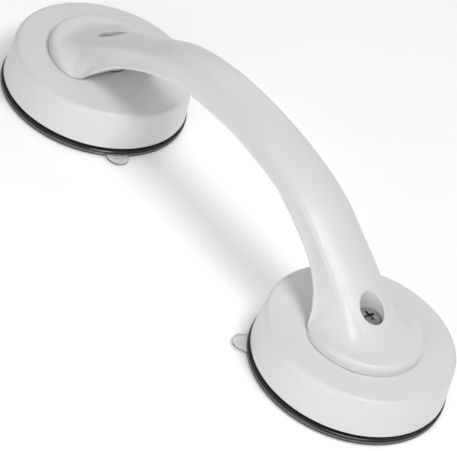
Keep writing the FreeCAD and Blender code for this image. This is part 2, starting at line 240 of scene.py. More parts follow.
print("a wire knows + and *, and everything else is one call of node()")

# %% [markdown]
# ## Moulded plastic
#
# The handle and the covers are ABS from a spark-textured mould: satin, not glossy,
# with a grain far finer than a millimetre.  A noise at that size moves the normal,
# a slow one lets the gloss and the white wander a little, as they do where a
# moulding cools unevenly.  The hub is the creamy white of uncoloured plastic.  The
# slip washer under each collar is dark grey as painted shade: it draws the shadow
# line in the gap between the collar and the cover.

# %% Make the plastics
SPARK_SCALE = 2600.0        # the mould's spark texture
SINK_SCALE = 45.0           # shallow sink marks
WHITE_SCALE = 22.0          # where the white wanders
SLOW_GLOSS_SCALE, FINE_GLOSS_SCALE = 38.0, 900.0
GRAIN_DEPTH = 0.06 * MM
PLASTIC_IOR = 1.53


def plastic(name, low, high, gloss_low, gloss_high, grain):
    """Moulded plastic between two colours and two roughnesses."""
    def colour(graph, place):
        return tint(graph, noise(graph, place, WHITE_SCALE, 2.0), low, high)

    def roughness(graph, place):
        slow = noise(graph, place, SLOW_GLOSS_SCALE, 4.0)
        fine = noise(graph, place, FINE_GLOSS_SCALE, 2.0)
        return gloss_low + (gloss_high - gloss_low) * (0.75 * slow + 0.25 * fine)

    def mould_grain(graph, place):
        spark = noise(graph, place, SPARK_SCALE, 2.0, 0.6)
        sink = noise(graph, place, SINK_SCALE, 1.0)
        return bumps(graph, 0.85 * spark + 0.15 * sink, grain, GRAIN_DEPTH)

    varying = {"Base Color": colour, "Roughness": roughness}
    return new_material(name, {"IOR": PLASTIC_IOR}, varying, mould_grain)


handle_plastic = plastic("handle_plastic", grey(0.74), grey(0.79, -0.005), 0.30, 0.46, 0.35)
cover_plastic = plastic("cover_plastic", grey(0.74), grey(0.79, -0.005), 0.34, 0.50, 0.35)
strip_plastic = plastic("strip_plastic", grey(0.72), grey(0.77, -0.005), 0.36, 0.52, 0.40)
hub_plastic = plastic("hub_plastic", (0.66, 0.655, 0.63, 1), (0.72, 0.715, 0.69, 1), 0.42, 0.60, 0.50)
# Painted shade: the slip washer is dark so that it draws the shadow line under each collar.
washer_plastic = plastic("washer_plastic", grey(0.09, 0.002), grey(0.13, 0.002), 0.45, 0.60, 0.30)
for material in (handle_plastic, cover_plastic, strip_plastic, hub_plastic, washer_plastic):
    print(material.name, "has", len(material.node_tree.nodes), "nodes")

# %% [markdown]
# ## Bright steel
#
# The screws and washers are zinc-plated steel.  Plating clouds the shine a little,
# and handling leaves fine scratches.

# %% Make the steel
CLOUD_SCALE, WEAR_SCALE, SCRATCH_SCALE = 420.0, 650.0, 3000.0
SCRATCH_DEPTH = 0.03 * MM


def plated_steel(name, roughness_low, roughness_high):
    def colour(graph, place):
        clouds = noise(graph, place, CLOUD_SCALE, 4.0)
        return tint(graph, clouds, grey(0.40, 0.01), grey(0.60))

    def roughness(graph, place):
        wear = noise(graph, place, WEAR_SCALE, 5.0)
        return roughness_low + (roughness_high - roughness_low) * wear

    def scratches(graph, place):
        return bumps(graph, noise(graph, place, SCRATCH_SCALE), 0.25, SCRATCH_DEPTH)

    varying = {"Base Color": colour, "Roughness": roughness}
    return new_material(name, {"Metallic": 1.0}, varying, scratches)


screw_steel = plated_steel("screw_steel", 0.14, 0.30)
washer_steel = plated_steel("washer_steel", 0.28, 0.50)
print("steels:", screw_steel.name, washer_steel.name)

# %% [markdown]
# ## Clear rubber
#
# The cup is clear soft PVC.  Where it is thin, as in the tab, it looks pale.  In
# the thick lip the light has a long way to go and comes out of the dark hollow
# under the cover, so that the edge reads as a dark band with one paler line.
# That light and shade is painted: the lip's outer edge is a rubber that lets
# little light through, and its colour by height draws the dark bands and the paler
# line.  The tab's grey outline is painted shade too.  The body of the cup is real
# see-through rubber.  Each rubber has its own rule for its colour.

# %% Make the clear rubber
RUBBER_IOR = 1.5
SKIN_DEPTH = 0.05 * MM
BAND_SPAN = 4 * MM
# share of the band's span above the wall, and how light the painted shade is there:
# dark for the shadow under the cover and for refraction, pale in the groove for painted light
LIP_SHADE_BANDS = [(0.0, 0.02), (0.30, 0.03), (0.35, 0.34), (0.41, 0.34), (0.47, 0.015), (0.64, 0.02),
             (0.74, 0.03)]


def clear_rubber(name, colour, transmission, roughness):
    def blur(graph, place):
        return roughness + 0.06 * noise(graph, place, 120.0)

    def skin(graph, place):
        return bumps(graph, noise(graph, place, 700.0), 0.12, SKIN_DEPTH)

    plain = {"IOR": RUBBER_IOR, "Transmission Weight": transmission}
    return new_material(name, plain, {"Base Color": colour, "Roughness": blur}, skin)


def cup_colour(graph, place):
    """Nearly colourless, a touch colder than glass."""
    return tint(graph, noise(graph, place, 60.0), (0.86, 0.87, 0.87, 1), (0.93, 0.94, 0.94, 1))


def painted_lip_shade(graph, place):
    """Painted light and shade on the lip's outer edge by height: dark bands, one paler line in the groove.
    """
    height = graph.node("ShaderNodeSeparateXYZ", inputs={"Vector": place}, output="Z")
    stops = [(share, grey(value)) for share, value in LIP_SHADE_BANDS]
    return graph.node("ShaderNodeValToRGB", {"stops": stops}, {"Fac": height * (1 / BAND_SPAN)})


def tab_colour_and_edge_shade(graph, place):
    """Nearly colourless, with a grey painted shade along the tongue's edge for its dark outline."""
    bead = graph.node("ShaderNodeAttribute", {"attribute_name": "bead"}, output="Fac")
    return tint(graph, bead, grey(0.99), grey(0.42))


cup_rubber = clear_rubber("cup_rubber", cup_colour, 1.0, 0.05)
# The lip's edge lets little light through, and its colour is painted shade.
edge_rubber = clear_rubber("edge_rubber", painted_lip_shade, 0.10, 0.10)
tab_rubber = clear_rubber("tab_rubber", tab_colour_and_edge_shade, 0.80, 0.10)
print("rubbers:", cup_rubber.name, edge_rubber.name, tab_rubber.name)

# %% [markdown]
# ## Mesh helpers
#
# Round pieces are turned from an outline, as on a lathe.  The outline is a closed
# list of (radius, height) corners in millimetres, and each corner can be rounded
# by a given radius.  Other pieces are nets: rows of points, each row a closed
# loop, with a face between every two neighbours.

# %% Turn an outline into a mesh
def add_piece(name, vertices, faces, materials, sharp=35.0):
    """A mesh object at the origin from points in millimetres."""
    mesh = bpy.data.meshes.new(name)
    mesh.from_pydata([tuple(c * MM for c in v) for v in vertices], [], faces)
    tidy_mesh(mesh, sharp)
    for material in materials:
        mesh.materials.append(material)
    piece = bpy.data.objects.new(name, mesh)
    bpy.context.collection.objects.link(piece)
    return piece


def tidy_mesh(mesh, sharp):
    """Merge doubles, turn all faces outwards, and shade smooth up to an angle."""
    work = bmesh.new()
    work.from_mesh(mesh)
    bmesh.ops.remove_doubles(work, verts=work.verts, dist=0.002 * MM)
    bmesh.ops.dissolve_degenerate(work, edges=work.edges, dist=0.001 * MM)
    bmesh.ops.recalc_face_normals(work, faces=work.faces)
    work.to_mesh(mesh)
    work.free()
    mesh.shade_smooth()
    mesh.set_sharp_from_angle(angle=math.radians(sharp))


def net_faces(row_count, per_row):
    """Faces between the closed loops of a net, one loop after the other."""
    faces = []
    for i in range(row_count - 1):
        for k in range(per_row):
            m = (k + 1) % per_row
            faces.append((i * per_row + k, i * per_row + m, (i + 1) * per_row + m, (i + 1) * per_row + k))
    return faces


def end_faces(row_count, per_row):
    """The two faces that close a net's first and last loop."""
    last = (row_count - 1) * per_row
    return [tuple(range(per_row)), tuple(range(last, last + per_row))]


def plain_mesh(piece):
    """A new mesh of the piece as its modifiers leave it."""
    evaluated = piece.evaluated_get(bpy.context.evaluated_depsgraph_get())
    return bpy.data.meshes.new_from_object(evaluated)


def rounded(outline, steps=5):
    """Round each corner of a closed outline: rows are (radius, height, rounding)."""
    points = []
    for i, (r, z, rounding) in enumerate(outline):
        if rounding <= 0:
            points.append((r, z))
            continue
        corner = np.array((r, z))
        before = np.array(outline[i - 1][:2]) - corner
        after = np.array(outline[(i + 1) % len(outline)][:2]) - corner
        before, after = before / np.linalg.norm(before), after / np.linalg.norm(after)
        start, end = corner + before * rounding, corner + after * rounding
        for k in range(steps + 1):
            t = k / steps
            points.append(tuple((1 - t) ** 2 * start + 2 * t * (1 - t) * corner + t ** 2 * end))
    return points


def turned(name, outline, x, materials, segments=144, sharp=35.0):
    """Turn a closed outline once about the upright axis at x."""
    count = len(outline)
    vertices, faces = [], []
    for s in range(segments):
        angle = 2 * math.pi * s / segments
        for r, z in outline:
            vertices.append((x + r * math.cos(angle), r * math.sin(angle), z))
    for s in range(segments):
        t = (s + 1) % segments
        for i in range(count):
            j = (i + 1) % count
            if outline[i][0] == 0 and outline[j][0] == 0:
                continue
            faces.append((s * count + i, t * count + i, t * count + j, s * count + j))
    return add_piece(name, vertices, faces, materials, sharp)


def joined(name, pieces):
    """One object from several, with the first one's materials kept in order."""
    bpy.ops.object.select_all(action="DESELECT")
    for piece in pieces:
        piece.select_set(True)
    bpy.context.view_layer.objects.active = pieces[0]
    bpy.ops.object.join()
    pieces[0].name = name
    pieces[0].data.name = name
    return pieces[0]


def carved(piece, cutter, operation="DIFFERENCE", sharp=35.0):
    """Cut one closed mesh out of another, or weld it on, and drop the cutter."""
    step = piece.modifiers.new("cut", "BOOLEAN")
    step.operation = operation
    step.solver = "EXACT"
    step.object = cutter
    mesh = plain_mesh(piece)
    piece.modifiers.clear()
    old = piece.data
    piece.data = mesh
    mesh.name = piece.name
    bpy.data.meshes.remove(old)
    bpy.data.objects.remove(cutter)
    tidy_mesh(mesh, sharp)


def size_of(piece):
    """The piece's name and its number of triangles, to print."""
    faces = sum(len(p.vertices) - 2 for p in piece.data.polygons)
    return f"{piece.name}: {faces} triangles"


print("mesh helpers ready")

# %% [markdown]
# ## The handle's shape as a rule
#
# A maker would draw this handle as cross-sections: how high the crown is, where
# the ridge and the lower edge run, how round they are and how far the flank is
# hollowed.  The rows below hold those sizes from the middle of the bar to its
# foot.  A curve through each column gives the section anywhere between.

# %% Write down the sections
# x, crown, ridge half width and height, edge half width and height, underside,
# ridge rounding, edge rounding, hollow of the flank.  Millimetres.
EDGE_Y, BOTTOM, EDGE_ROUND, HOLLOW = 4, 6, 8, 9     # columns used by themselves
SECTIONS = np.array([
    (0.0, 74.6, 12.7, 73.9, 12.7, 59.6, 59.0, 8.0, 6.5, 0.0),
    (18.0, 73.8, 12.8, 73.0, 13.2, 59.3, 58.6, 7.6, 6.0, 0.0),
    (36.0, 71.3, 13.0, 69.9, 14.3, 59.2, 58.2, 5.6, 4.0, 0.0),
    (48.0, 68.1, 13.2, 66.5, 14.9, 56.4, 55.4, 4.2, 2.0, 0.2),
    (60.0, 63.8, 13.2, 61.8, 15.1, 51.4, 50.3, 3.0, 1.2, 0.5),
    (70.0, 58.5, 13.2, 56.3, 15.3, 45.6, 44.5, 2.6, 0.9, 1.0),
    (80.0, 53.0, 13.2, 50.6, 17.7, 38.8, 37.6, 2.4, 0.6, 0.9),
    (87.0, 49.1, 13.2, 46.5, 21.1, 31.6, 30.3, 2.4, 0.5, 1.1),
    (92.0, 46.1, 13.2, 43.4, 25.3, 25.4, 24.6, 2.4, 0.4, 1.5),
    (97.0, 42.8, 13.2, 40.1, 26.6, 25.7, 24.3, 2.6, 0.5, 1.6),
    (102.5, 39.1, 13.2, 36.8, 26.2, 26.6, 24.3, 2.9, 0.7, 1.5),
    (108.0, 35.3, 13.2, 33.4, 24.8, 27.2, 24.3, 3.2, 0.7, 0.9),
    (113.0, 32.0, 13.0, 30.7, 23.0, 27.2, 24.3, 3.8, 0.7, 0.4),
    (118.0, 29.0, 12.6, 28.2, 21.0, 26.2, 24.3, 4.0, 0.7, 0.0),
    (124.0, 25.6, 12.0, 25.2, 18.0, 24.9, 24.3, 4.0, 0.3, 0.0),
])
AXIS_X = 102.5              # the screw's axis, from the middle of the bar
HEADS = {"left": (-AXIS_X, -21.5), "right": (AXIS_X, -129.8)}   # axis, angle of the tab


def slopes(x, y):
    """Slopes that let a curve pass through every row without overshooting."""
    steps, rises = np.diff(x), np.diff(y) / np.diff(x)
    result = np.zeros(len(x))
    for i in range(1, len(x) - 1):
        if rises[i - 1] * rises[i] > 0:
            a, b = 2 * steps[i] + steps[i - 1], steps[i] + 2 * steps[i - 1]
            result[i] = (a + b) / (a / rises[i - 1] + b / rises[i])
    result[-1] = rises[-1]
    return result


SLOPES = [slopes(SECTIONS[:, 0], SECTIONS[:, k]) for k in range(SECTIONS.shape[1])]


def column(k, x):
    """Column k of the sections at x, on the smooth curve through its rows."""
    stations = SECTIONS[:, 0]
    x = np.minimum(np.abs(x), stations[-1])
    i = np.clip(np.searchsorted(stations, x, side="right") - 1, 0, len(stations) - 2)
    h = stations[i + 1] - stations[i]
    t = (x - stations[i]) / h
    low, high = SECTIONS[i, k], SECTIONS[i + 1, k]
    return ((1 + 2 * t) * (1 - t) ** 2 * low + t * (1 - t) ** 2 * h * SLOPES[k][i]
            + t * t * (3 - 2 * t) * high + t * t * (t - 1) * h * SLOPES[k][i + 1])


def between(a, b, distance):
    """The point on the way from a to b, this far from a."""
    a, b = np.array(a), np.array(b)
    return a + (b - a) * min(0.48, distance / np.linalg.norm(b - a))


def bend(a, b, c, count=40):
    """A curve from a to c, pulled towards b."""
    t = np.linspace(0, 1, count)[:, None]
    return (1 - t) ** 2 * np.array(a) + 2 * t * (1 - t) * np.array(b) + t * t * np.array(c)


def bottom_line(x):
    return column(BOTTOM, x)


def half_section(x):
    """The outside of one half of the section at x, from its foot to the crown."""
    crown, ridge_y, ridge_z, edge_y, edge_z, bottom, ridge_round, edge_round, hollow = (
        column(k, x) for k in range(1, 10))
    top, ridge, edge, foot = (0.0, crown), (ridge_y, ridge_z), (edge_y, edge_z), (edge_y - 0.2, bottom)
    ridge_top, ridge_side = between(ridge, top, ridge_round), between(ridge, edge, ridge_round)
    edge_side, foot_low = between(edge, ridge, edge_round), (foot[0] - edge_round, bottom)
    belly = (ridge_side + edge_side) / 2 - hollow
    parts = [bend(foot_low, foot, edge_side), bend(edge_side, belly, ridge_side),
             bend(ridge_side, ridge, ridge_top), bend(ridge_top, (0.5 * ridge_top[0], crown), top)]
    return np.vstack([parts[0]] + [part[1:] for part in parts[1:]])


print("section at the middle:", np.round(half_section(0.0)[[0, 60, -1]], 1).tolist())

# %% [markdown]
# ## Where the arch meets its foot
#
# The round foot is a low disc, and the arch flows into it without a crease.  Both
# shapes are described by how far a point is outside them.  The smaller of the two
# distances joins them, and a soft version of "smaller" leaves a fillet in the
# corner.  Looking outwards from the middle of the foot, each ray leaves the body
# exactly once, so halving an interval finds the surface on every ray.

# %% Describe the foot
FOOT_Z = 24.3               # the foot's flat underside
PAD_RADIUS, PAD_TOP, PAD_FILLET = 28.7, 29.3, 2.9
PAD_START, PAD_FULL = 91.6, 107.0       # the pad's rim rises between these
PAD_EASE = 0.25             # softness of the line where it stops rising
CORNER_BLEND, FOOT_BLEND = 0.8, 5.0     # fillet at the pad's corner, and further on
BLEND_START, BLEND_LENGTH = 93.6, 9.0   # where the fillet grows
ARCH_TAIL, TAIL_LENGTH = 122.0, 6.0     # the arch fades to nothing inside the pad


def soft_max(a, b, width):
    """The larger of two, with the corner between them rounded."""
    share = np.clip(width - np.abs(a - b), 0, None) / width
    return np.maximum(a, b) + share * share * width / 4


def soft_min(a, b, width):
    return -soft_max(-a, -b, width)


ANGLES = np.linspace(0, math.pi / 2, 241)
TABLE_X = np.arange(84.0, 132.01, 0.5)


def reach_table():
    """How far the arch reaches from its bottom line, for each x and upward angle."""
    rows = []
    for x in TABLE_X:
        points = half_section(x) - np.array((0, bottom_line(x)))
        angle = np.arctan2(points[:, 1], points[:, 0])
        order = np.argsort(angle)
        rows.append(np.interp(ANGLES, angle[order], np.linalg.norm(points[order], axis=1)))
    table = np.array(rows)
    fade = np.clip((TABLE_X - ARCH_TAIL) / TAIL_LENGTH, 0, 1)[:, None]
    return table * (1 - fade) - TAIL_LENGTH * fade


REACH = reach_table()


def outside_foot(x, y, z):
    """Below 0 inside the right foot with its arch, above 0 outside it."""
    x = np.clip(x, TABLE_X[0], TABLE_X[-1] - 0.01)
    low = bottom_line(x)
    radius, angle = np.hypot(y, z - low), np.arctan2(z - low, np.abs(y) + 1e-9)
    i = (x - TABLE_X[0]) / (TABLE_X[1] - TABLE_X[0])
    j = np.clip(angle / ANGLES[1], 0, len(ANGLES) - 1.001)
    i0, j0 = i.astype(int), j.astype(int)
    u, v = i - i0, j - j0
    reach = ((1 - u) * ((1 - v) * REACH[i0, j0] + v * REACH[i0, j0 + 1])
             + u * ((1 - v) * REACH[i0 + 1, j0] + v * REACH[i0 + 1, j0 + 1]))
    climb = soft_min((x - PAD_START) / (PAD_FULL - PAD_START), 1.0, PAD_EASE)
    top = FOOT_Z + (PAD_TOP - FOOT_Z) * climb
    disc = soft_max(np.hypot(x - AXIS_X, y) - PAD_RADIUS, z - top, PAD_FILLET)
    share = np.clip((x - BLEND_START) / BLEND_LENGTH, 0, 1)
    width = CORNER_BLEND + (FOOT_BLEND - CORNER_BLEND) * share * share * (3 - 2 * share)
    return soft_min(radius - reach, disc, width)


def halved(inside, low, high):
    """Where a rising function passes 0 between two arrays of distances."""
    for _ in range(34):
        middle = (low + high) / 2
        out = inside(middle) > 0
        high, low = np.where(out, middle, high), np.where(out, low, middle)
    return (low + high) / 2


LOW_RAY = 0.12              # rays below this angle meet the pad's wall, so they are closer
NEAR_IN, FAR_OUT = 0.05, 60.0           # every ray leaves the body between these


def foot_section(x, turn):
    """One half of a section through the foot, in a plane turned about the upright at x."""
    rays = np.concatenate([np.linspace(0, LOW_RAY, 60)[:-1], np.linspace(LOW_RAY, math.pi / 2, 240)])
    out_x, out_y = math.sin(turn), math.cos(turn)
    low = float(bottom_line(x))

    def gap(s):
        along = s * np.cos(rays)
        return outside_foot(x + along * out_x, along * out_y, low + s * np.sin(rays))

    s = halved(gap, np.full(rays.shape, NEAR_IN), np.full(rays.shape, FAR_OUT))
    return np.column_stack([s * np.cos(rays), low + s * np.sin(rays)])


def height_of_top(x, y):
    """Height of the right foot's top surface above points of the plan."""
    low = bottom_line(x) + 0.2
    return halved(lambda z: outside_foot(x, y, z), low, low + 30.0)


over_screw = height_of_top(np.array([AXIS_X]), np.array([0.0]))
print("crown over the screw is", round(float(over_screw[0]), 2), "mm high")

# %% [markdown]
# ## The upper shell
#
# The mesh is a net of those half sections: upright planes across the arch, then
# planes that fan out round the foot's axis.  Points crowd where the outline bends,
# so the ridges stay crisp without millions of faces.  Underneath, a groove takes
# the lower shell.

# %% Build the upper shell's net
POINTS_PER_HALF = 84
SIDE_WALL = 2.5
GROOVE = 3.0                # depth of the groove for the lower shell
BEND_PULL = 3.0             # a turn of one radian counts as this many millimetres
SHARPEST_TURN = 0.4
ARCH_END = 92.0             # the groove and its strip stop here
FOOT_START = 86.0           # from here on the section comes from the foot's rule
# from, to and step of the planes across the arch
ARCH_SPANS = [(0.0, 60.0, 1.6), (60.0, 84.0, 1.2), (84.0, AXIS_X, 0.7)]
FAN_PLANES = 46


def spread(curve, count):
    """Resample a curve, closer together where it bends."""
    steps = np.diff(curve, axis=0)
    length = np.linalg.norm(steps, axis=1)
    keep = np.concatenate([[True], length > 1e-7])
    curve = curve[keep]
    steps = np.diff(curve, axis=0)
    length = np.linalg.norm(steps, axis=1)
    heading = np.unwrap(np.arctan2(steps[:, 1], steps[:, 0]))
    turn = np.abs(np.diff(heading, prepend=heading[0]))
    weight = np.concatenate([[0], np.cumsum(length + BEND_PULL * np.minimum(turn, SHARPEST_TURN))])
    wanted = np.linspace(0, weight[-1], count)
    return np.column_stack([np.interp(wanted, weight, curve[:, k]) for k in (0, 1)])


def slot_half_width(x):
    """Half the width of the groove underneath."""
    edge_half, edge_round, hollow = (column(k, x) for k in (EDGE_Y, EDGE_ROUND, HOLLOW))
    return edge_half - max(SIDE_WALL + 1.2 * hollow, 0.9 * edge_round)


def half_loop(x, turn):
    """Half a section with its underside: from the groove's middle to the crown."""
    section = half_section(x) if abs(x) < FOOT_START else foot_section(abs(x), turn)
    outside = spread(section, POINTS_PER_HALF)
    low, outer = float(bottom_line(x)), outside[0, 0]
    slot = slot_half_width(x) if abs(x) < ARCH_END else outer - SIDE_WALL
    slot = min(slot, outer - 0.8)
    roof = low + GROOVE - 0.8 * np.clip((abs(x) - ARCH_END + 4) / 4, 0, 1)
    under = [(0.0, roof), (0.5 * slot, roof), (slot - 0.3, roof), (slot, roof - 0.3),
             (slot, low + 0.25), (slot + 0.25, low)]
    return np.vstack([under, outside])


def arch_places():
    """Where the planes across the arch stand, from one foot to the other."""
    places = np.concatenate([np.arange(a, b, step) for a, b, step in ARCH_SPANS])
    return [-x for x in places[:0:-1]] + list(places)


def handle_net():
    fan = [math.radians(a) for a in np.linspace(0, 90, FAN_PLANES)]
    rows = [(-AXIS_X, turn) for turn in fan[::-1]] + [(x, 0.0) for x in arch_places()]
    rows += [(AXIS_X, turn) for turn in fan]
    vertices = []
    for x, turn in rows:
        loop = half_loop(x, turn)
        out_x, out_y = math.sin(turn) * (1 if x > 0 else -1), math.cos(turn)
        near = [(x + r * out_x, -r * out_y, z) for r, z in loop]
        far = [(x + r * out_x, r * out_y, z) for r, z in loop]
        vertices += near + far[::-1]
    return vertices, net_faces(len(rows), len(vertices) // len(rows))


upper_shell = add_piece("upper_shell", *handle_net(), [handle_plastic], sharp=40.0)
print(size_of(upper_shell))

# %% [markdown]
# ## The screw bores
#
# Each bore is drilled upright through a sloping surface, so its mouth is an
# ellipse.  The cutter's upper rows follow the surface, which gives the mouth a
# small even rounding all the way round.

# %% Bore the feet
BORE_RADIUS, SEAT_Z, HOLE_RADIUS = 6.5, 28.2, 3.08
BELOW_FOOT, ABOVE_CROWN = 20.0, 60.0
# radius, and height above the handle's skin, up the rounding of the bore's mouth
BORE_MOUTH = [(BORE_RADIUS, -0.75), (6.51, -0.5), (6.56, -0.3), (6.66, -0.14), (6.82, -0.04), (7.05, 0.03)]


def bore_cutter(side, segments=120):
    angles = np.arange(segments) * 2 * math.pi / segments
    level = np.ones(segments)
    rows = [(HOLE_RADIUS, BELOW_FOOT * level), (HOLE_RADIUS, SEAT_Z * level), (BORE_RADIUS, SEAT_Z * level)]
    for radius, offset in BORE_MOUTH:
        x, y = AXIS_X + radius * np.cos(angles), radius * np.sin(angles)
        rows.append((radius, height_of_top(x, y) + offset))
    rows.append((BORE_MOUTH[-1][0], ABOVE_CROWN * level))
    vertices = []
    for radius, heights in rows:
        vertices += [(side * (AXIS_X + radius * math.cos(a)), radius * math.sin(a), z)
                     for a, z in zip(angles, heights)]
    faces = net_faces(len(rows), segments) + end_faces(len(rows), segments)
    return add_piece("cutter", vertices, faces, [handle_plastic])


for side in (-1, 1):
    carved(upper_shell, bore_cutter(side), sharp=40.0)
print(size_of(upper_shell))
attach(upper_shell, "handle")
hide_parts("handle_upper_shell")

# %% [markdown]
# ## The lower shell
#
# A narrow strip closes the hollow handle from below and ends in two round collars
# that stand on the covers.  It follows the same sections, a little narrower than
# the groove, with its edges broken.

# %% Build the strip and its collars
STRIP_LOW, STRIP_HIGH, STRIP_PLAY = 0.4, 2.4, 0.14   # above the bottom line, and beside
COLLAR_RADIUS, COLLAR_LOW, COLLAR_HIGH, COLLAR_HOLE = 12.0, 24.85, 26.2, 3.1
SCREW_PLACE = 40.0          # of the two closing screws, from the middle
WELL_RADIUS, WELL_DEPTH = 2.8, 1.4


def strip_net():
    places = [x for x in arch_places() if abs(x) <= ARCH_END]
    vertices = []
    for x in places:
        half, low = slot_half_width(x) - STRIP_PLAY, float(bottom_line(x))
        corner = [(half - 0.35, low + STRIP_LOW), (half, low + STRIP_LOW + 0.35),
                  (half, low + STRIP_HIGH - 0.2), (half - 0.2, low + STRIP_HIGH)]
        vertices += [(x, y, z) for y, z in corner] + [(x, -y, z) for y, z in corner[::-1]]
    count = len(places)
    per_row = len(vertices) // count
    return vertices, net_faces(count, per_row) + end_faces(count, per_row)


def well_seat():
    """Height of the face that a closing screw's head bears on."""
    return float(bottom_line(SCREW_PLACE)) + WELL_DEPTH


lower_shell = add_piece("lower_shell", *strip_net(), [strip_plastic])
collar_outline = rounded([(COLLAR_HOLE, COLLAR_LOW, 0), (COLLAR_RADIUS, COLLAR_LOW, 0.3),
                          (COLLAR_RADIUS, COLLAR_HIGH, 0.3), (COLLAR_HOLE, COLLAR_HIGH, 0)])
well_outline = [(0, 40), (WELL_RADIUS, 40), (WELL_RADIUS, well_seat()), (0, well_seat())]
for side in (-1, 1):
    carved(lower_shell, turned("collar", collar_outline, side * AXIS_X, [strip_plastic], 96), "UNION")
for side in (-1, 1):
    carved(lower_shell, turned("well", well_outline, side * SCREW_PLACE, [strip_plastic], 48))
print(size_of(lower_shell))
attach(lower_shell, "handle")
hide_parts("handle_lower_shell")

# %% [markdown]
# ## A kit for node-built pieces
#
# Screws, ribs and grip ridges repeat, so Geometry Nodes place them: one shape and
# a rule for where its copies stand.  The tree's sizes are named inputs.  At the
# end the copies become real mesh and get their material.

# %% Write the helper for Geometry Nodes
class Nodes:
    """Builds one Geometry Nodes tree with named inputs."""

    def __init__(self, name, inputs):
        self.tree = bpy.data.node_groups.new(name, "GeometryNodeTree")
        self.tree.interface.new_socket("Geometry", in_out="OUTPUT", socket_type="NodeSocketGeometry")
        self.values = inputs
        for label, value in inputs.items():
            kind = "NodeSocketInt" if isinstance(value, int) else "NodeSocketFloat"
            self.tree.interface.new_socket(label, in_out="INPUT", socket_type=kind)
        self.sizes = self.tree.nodes.new("NodeGroupInput")

    def size(self, label):
        return self.sizes.outputs[label]

    def vector(self, x=0.0, y=0.0, z=0.0):
        """A vector from three numbers or sizes."""
        return self.add("ShaderNodeCombineXYZ", inputs={"X": x, "Y": y, "Z": z})

    def moved(self, geometry, x, z, turn):
        """The geometry turned about Z and then moved to an axis at x."""
        place = {"Geometry": geometry, "Translation": self.vector(x, 0.0, z),
                 "Rotation": self.vector(0.0, 0.0, turn)}
        return self.add("GeometryNodeTransform", inputs=place)

    def copies(self, points, shape, turn=None):
        """One copy of the shape on every point."""
        links = {"Points": points, "Instance": shape}
        if turn is not None:
            links["Rotation"] = turn
        return self.add("GeometryNodeInstanceOnPoints", inputs=links)

    def add(self, kind, settings=None, inputs=None, output=0):
        made = self.tree.nodes.new(kind)
        for key, value in (settings or {}).items():
            setattr(made, key, value)
        for key, value in (inputs or {}).items():
            if isinstance(value, bpy.types.NodeSocket):
                self.tree.links.new(value, made.inputs[key])
            else:
                made.inputs[key].default_value = value
        return made.outputs[output]

    def finished(self, geometry, material):
        """Realize the copies, set their material, and return a plain mesh object."""
        real = self.add("GeometryNodeRealizeInstances", inputs={"Geometry": geometry})
        painted = self.add("GeometryNodeSetMaterial", inputs={"Geometry": real, "Material": material})
        end = self.tree.nodes.new("NodeGroupOutput")
        self.tree.links.new(painted, end.inputs[0])
        carrier = bpy.data.objects.new(self.tree.name, bpy.data.meshes.new(self.tree.name))
        bpy.context.collection.objects.link(carrier)
        modifier = carrier.modifiers.new("nodes", "NODES")
        modifier.node_group = self.tree
        for item in self.tree.interface.items_tree:
            if item.in_out == "INPUT" and item.name in self.values:
                modifier[item.identifier] = self.values[item.name]
        mesh = plain_mesh(carrier)
        carrier.modifiers.clear()
        carrier.data = mesh
        mesh.name = carrier.name
        return carrier


print("node helper ready")

# %% [markdown]
# ## Screws
#
# A pan head with a cross recess is turned from its outline and then cut by a
# tapered cross.  The main screw is M6, the closing screws are small self-tapping
# ones that go in from below.

# %% Turn the main screws
# half length, width, lower and upper end, and how narrow the lower end is
MAIN_CROSS = (3.3, 1.5, 32.0, 35.5, 0.70)
SMALL_CROSS = (1.6, 0.7, -2.0, -0.5, 1.0)
SHARP_STEEL = 30.0


def cut_cross(piece, x, cross):
    """Cut a screwdriver's cross: one bar along X, then one along Y."""
    half_length, width, z_low, z_high, taper = cross
    for along in (True, False):
        vertices = []
        for z, share in ((z_low, taper), (z_high, 1.0)):
            a, b = half_length * share, width / 2 * share
            corners = [(-a, -b), (a, -b), (a, b), (-a, b)]
            vertices += [(x + (u if along else v), (v if along else u), z) for u, v in corners]
        bar = add_piece("cross", vertices, net_faces(2, 4) + end_faces(2, 4), [screw_steel])
        carved(piece, bar, sharp=SHARP_STEEL)


def main_screw(side_name, x):
    crown = [(0, 34.3, 0), (2.0, 34.22, 0), (3.6, 34.0, 0), (4.9, 33.65, 0), (5.7, 33.2, 0.25),
             (6.05, 32.6, 0.3)]
    shank = [(6.05, 30.65, 0.25), (3.0, 30.65, 0), (3.0, 11.4, 0), (2.2, 10.6, 0), (0, 10.6, 0)]
    screw = turned(side_name + "_screw", rounded(crown + shank), x, [screw_steel], 72, SHARP_STEEL)
    cut_cross(screw, x, MAIN_CROSS)
    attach(screw, side_name + "_head")
    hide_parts(side_name + "_main_screw")
    return screw


for side_name, (x, _) in HEADS.items():
    print(size_of(main_screw(side_name, x)))

# %% Place the closing screws with nodes
def small_screw():
    """One closing screw at x = 0, head down, its seat at z = 0."""
    head = [(0, -1.3, 0), (1.9, -1.3, 0.3), (2.6, -0.7, 0.2), (2.6, 0, 0)]
    shank = [(1.4, 0, 0), (1.4, 7.2, 0), (0.2, 8.0, 0), (0, 8.0, 0)]
    screw = turned("small_screw", rounded(head + shank), 0.0, [screw_steel], 48, SHARP_STEEL)
    cut_cross(screw, 0.0, SMALL_CROSS)
    return screw


